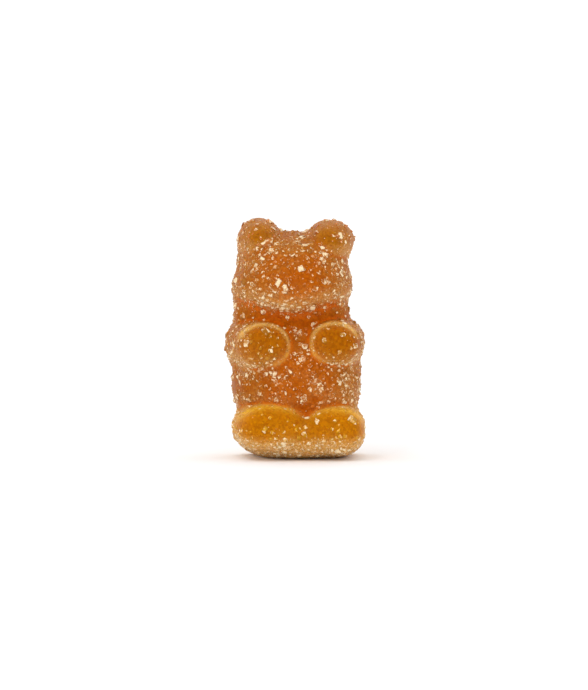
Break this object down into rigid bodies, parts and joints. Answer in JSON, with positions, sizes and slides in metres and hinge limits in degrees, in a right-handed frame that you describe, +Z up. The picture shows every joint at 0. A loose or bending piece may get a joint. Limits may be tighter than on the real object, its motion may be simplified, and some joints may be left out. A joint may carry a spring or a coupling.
{
  "type": "gummy bear",
  "caption": "Sour gummy bear: one soft jelly sweet moulded as a standing bear with a domed back, dusted all over with sugar grains.",
  "frame": {"origin": "middle of the overall box at the flat of the soles, on the surface that the bear stands on", "axes": "+Z up from the soles to the ears, -Y the way the bear faces, +Y its domed back, +X to the right as the viewer faces it"},
  "size_m": [0.0144, 0.0114, 0.0241],
  "materials": {
    "sugared_jelly": "translucent orange jelly under a coat of clear and pale tan sugar grains"
  },
  "bodies": {
    "root": {"gummy_bear": "sugared_jelly"}
  },
  "joints": []
}
